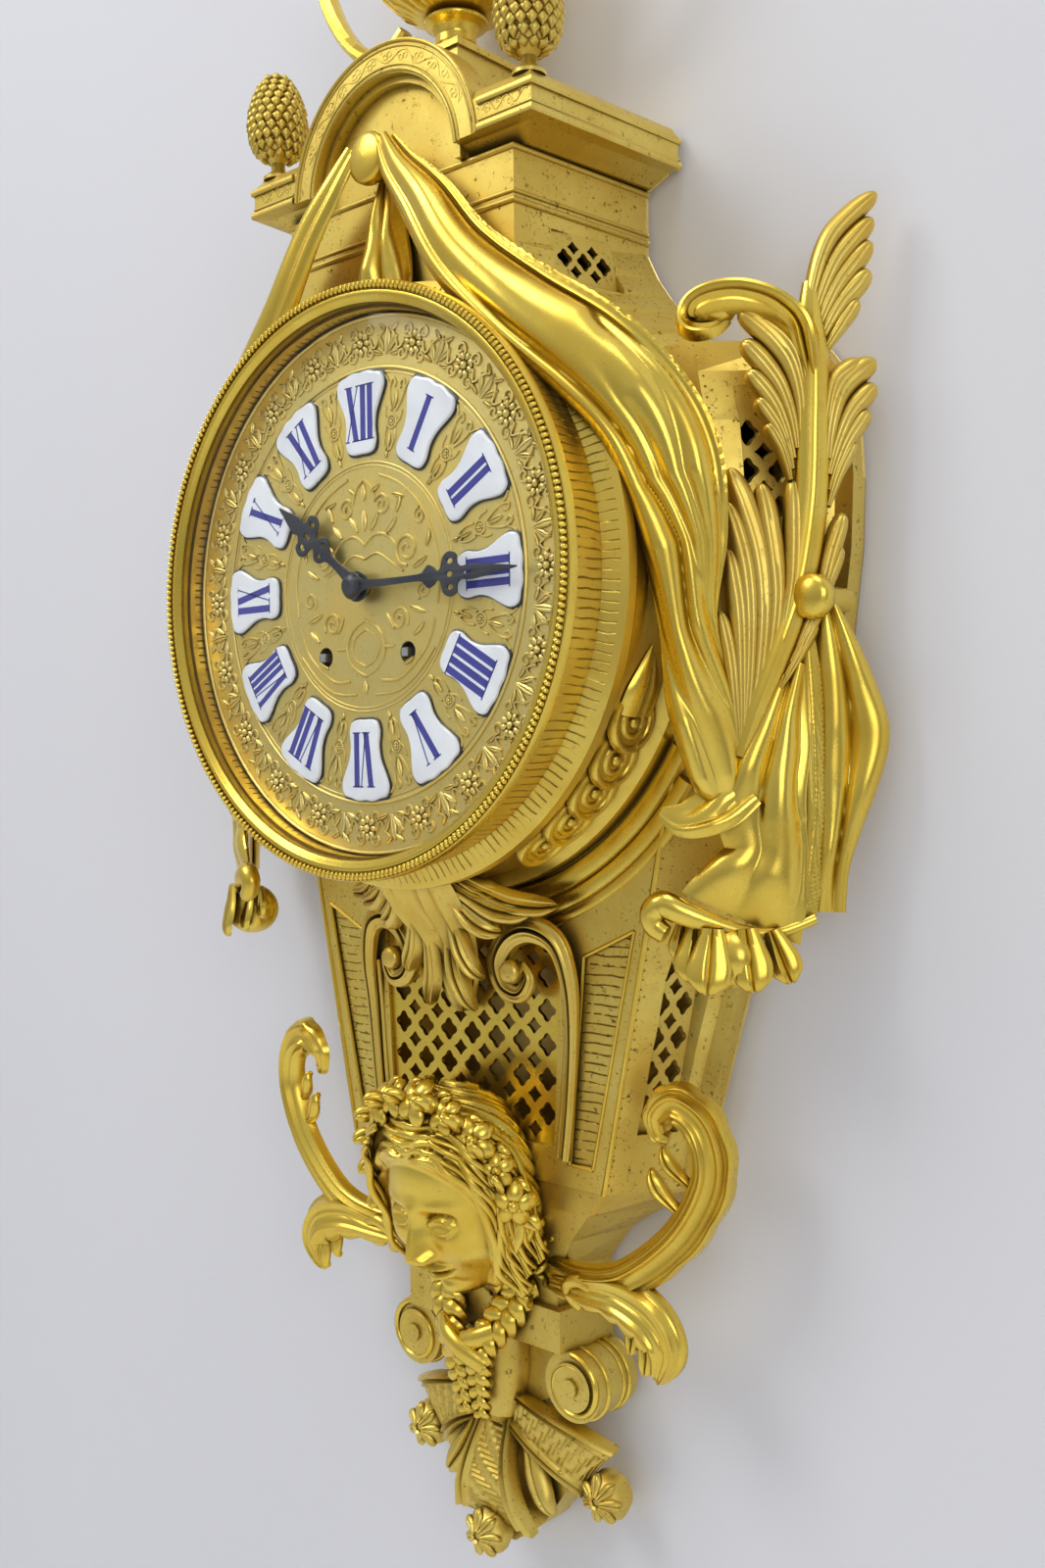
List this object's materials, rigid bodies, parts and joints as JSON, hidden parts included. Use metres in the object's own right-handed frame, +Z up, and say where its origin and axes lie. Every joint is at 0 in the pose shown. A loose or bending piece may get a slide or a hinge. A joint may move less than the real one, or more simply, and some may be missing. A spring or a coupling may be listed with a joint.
{
  "type": "cartel clock",
  "caption": "Gilt cast wall clock with draped shield-shaped case, hinged glazed bezel, dial of enamel plaques, pendulum and striking train.",
  "frame": {"origin": "middle of the hanging hole where it meets the wall plane", "axes": "+Z up, +X right seen from the front, +Y into the wall"},
  "size_m": [0.3994, 0.1238, 0.828],
  "materials": {
    "gilt_bronze": "matt and burnished gilding",
    "movement_brass": "grained",
    "steel": "polished",
    "blued_steel": "blued",
    "enamel": "gloss",
    "glass": "clear"
  },
  "bodies": {
    "case": {"back_plate": "movement_brass", "case_body": "gilt_bronze", "pediment": "gilt_bronze", "urn_bowl": "gilt_bronze", "urn_handles": "gilt_bronze", "urn_lid": "gilt_bronze", "pinecone_finials": "gilt_bronze", "drum": "gilt_bronze", "coin_bands": "gilt_bronze", "dial_clasp": "gilt_bronze", "front_grille": "gilt_bronze", "side_frets": "gilt_bronze", "drape_pegs": "gilt_bronze", "drape_left": "gilt_bronze", "drape_right": "gilt_bronze", "fall_left": "gilt_bronze", "fall_right": "gilt_bronze", "acanthus_left": "gilt_bronze", "acanthus_right": "gilt_bronze", "scroll_leaf_left": "gilt_bronze", "scroll_leaf_right": "gilt_bronze", "mask": "gilt_bronze", "console": "gilt_bronze", "tail_pendant": "gilt_bronze", "bezel_hinge_pin": "movement_brass", "door_hinge_pin": "steel", "dial_plate": "gilt_bronze", "numeral_plaques": "enamel", "front_plate": "movement_brass", "rear_plate": "movement_brass", "pillars": "movement_brass", "pillar_nuts": "steel", "movement_straps": "movement_brass", "suspension_cock": "movement_brass", "bell": "movement_brass"},
    "bezel_door": {"bezel": "gilt_bronze", "bezel_glass": "glass"},
    "rear_door": {"rear_door": "movement_brass"},
    "minute_arbor": {"centre_wheel": "movement_brass", "cannon_pinion": "steel", "minute_hand": "blued_steel", "hand_collet": "blued_steel"},
    "hour_pipe": {"hour_wheel": "movement_brass", "hour_hand": "blued_steel"},
    "minute_wheel": {"minute_wheel": "movement_brass"},
    "second_wheel": {"second_wheel": "movement_brass"},
    "third_wheel": {"third_wheel": "movement_brass"},
    "escape_wheel": {"escape_wheel": "movement_brass"},
    "going_barrel": {"going_barrel": "movement_brass"},
    "going_arbor": {"going_arbor": "steel"},
    "going_click": {"going_click": "steel"},
    "strike_barrel": {"strike_barrel": "movement_brass"},
    "strike_arbor": {"strike_arbor": "steel"},
    "strike_click": {"strike_click": "steel"},
    "strike_second_wheel": {"strike_second_wheel": "movement_brass"},
    "pin_wheel": {"pin_wheel": "movement_brass"},
    "fly": {"fly": "steel"},
    "hammer": {"hammer": "steel"},
    "pendulum": {"pendulum": "movement_brass"},
    "anchor": {"anchor": "steel"}
  },
  "joints": [
    {"name": "bezel_hinge", "type": "hinge", "parent": "case", "child": "bezel_door", "pos_m": [-0.1297, -0.11, -0.15], "axis": [0, 0, -1], "range_deg": [0, 100]},
    {"name": "rear_door_hinge", "type": "hinge", "parent": "case", "child": "rear_door", "pos_m": [-0.0606, -0.0018, -0.15], "axis": [0, 0, 1], "range_deg": [0, 110]},
    {"name": "minute_turn", "type": "hinge", "parent": "case", "child": "minute_arbor", "pos_m": [0, -0.071, -0.15], "axis": [0, 1, 0], "continuous": true},
    {"name": "hour_turn", "type": "hinge", "parent": "case", "child": "hour_pipe", "pos_m": [0, -0.097, -0.15], "axis": [0, 1, 0], "continuous": true},
    {"name": "minute_wheel_turn", "type": "hinge", "parent": "case", "child": "minute_wheel", "pos_m": [-0.00848, -0.095, -0.14152], "axis": [0, 1, 0], "continuous": true},
    {"name": "second_turn", "type": "hinge", "parent": "case", "child": "second_wheel", "pos_m": [0.01684, -0.053, -0.15933], "axis": [0, 1, 0], "continuous": true},
    {"name": "third_turn", "type": "hinge", "parent": "case", "child": "third_wheel", "pos_m": [0.00988, -0.08, -0.13438], "axis": [0, 1, 0], "continuous": true},
    {"name": "escape_turn", "type": "hinge", "parent": "case", "child": "escape_wheel", "pos_m": [0, -0.085, -0.122], "axis": [0, 1, 0], "continuous": true},
    {"name": "going_barrel_turn", "type": "hinge", "parent": "case", "child": "going_barrel", "pos_m": [0.026, -0.07, -0.179], "axis": [0, 1, 0], "continuous": true},
    {"name": "going_winding", "type": "hinge", "parent": "case", "child": "going_arbor", "pos_m": [0.026, -0.094, -0.179], "axis": [0, 1, 0], "continuous": true},
    {"name": "going_click_lift", "type": "hinge", "parent": "case", "child": "going_click", "pos_m": [0.037, -0.094, -0.175], "axis": [0, 1, 0], "range_deg": [0, 10], "stiffness_Nm_per_rad": 0.005},
    {"name": "strike_second_turn", "type": "hinge", "parent": "case", "child": "strike_second_wheel", "pos_m": [-0.03088, -0.053, -0.15786], "axis": [0, 1, 0], "continuous": true},
    {"name": "strike_barrel_turn", "type": "hinge", "parent": "case", "child": "strike_barrel", "pos_m": [-0.026, -0.07, -0.179], "axis": [0, 1, 0], "continuous": true},
    {"name": "pin_turn", "type": "hinge", "parent": "case", "child": "pin_wheel", "pos_m": [-0.02887, -0.067, -0.13871], "axis": [0, 1, 0], "continuous": true},
    {"name": "fly_turn", "type": "hinge", "parent": "case", "child": "fly", "pos_m": [-0.01986, -0.075, -0.1243], "axis": [0, 1, 0], "continuous": true},
    {"name": "strike_winding", "type": "hinge", "parent": "case", "child": "strike_arbor", "pos_m": [-0.026, -0.094, -0.179], "axis": [0, 1, 0], "continuous": true},
    {"name": "strike_click_lift", "type": "hinge", "parent": "case", "child": "strike_click", "pos_m": [-0.015, -0.094, -0.175], "axis": [0, 1, 0], "range_deg": [0, 10], "stiffness_Nm_per_rad": 0.005},
    {"name": "hammer_lift", "type": "hinge", "parent": "case", "child": "hammer", "pos_m": [-0.052, -0.042, -0.152], "axis": [0, 1, 0], "range_deg": [0, 18], "stiffness_Nm_per_rad": 0.05},
    {"name": "pendulum_swing", "type": "hinge", "parent": "case", "child": "pendulum", "pos_m": [0, -0.024, -0.10352], "axis": [0, 1, 0], "range_deg": [-3, 3]},
    {"name": "anchor_rock", "type": "hinge", "parent": "case", "child": "anchor", "pos_m": [0, -0.085, -0.10352], "axis": [0, 1, 0], "range_deg": [-3, 3]}
  ],
  "couplings": [
    {"joint": "hour_turn", "follows": "minute_turn", "ratio": 0.083333},
    {"joint": "minute_wheel_turn", "follows": "minute_turn", "ratio": -0.33333},
    {"joint": "second_turn", "follows": "minute_turn", "ratio": -0.16667},
    {"joint": "going_barrel_turn", "follows": "minute_turn", "ratio": 0.027778},
    {"joint": "third_turn", "follows": "minute_turn", "ratio": -10},
    {"joint": "escape_turn", "follows": "minute_turn", "ratio": 100},
    {"joint": "strike_barrel_turn", "follows": "strike_second_turn", "ratio": -0.16667},
    {"joint": "pin_turn", "follows": "strike_second_turn", "ratio": -6},
    {"joint": "fly_turn", "follows": "strike_second_turn", "ratio": 45},
    {"joint": "anchor_rock", "follows": "pendulum_swing", "ratio": 1}
  ]
}
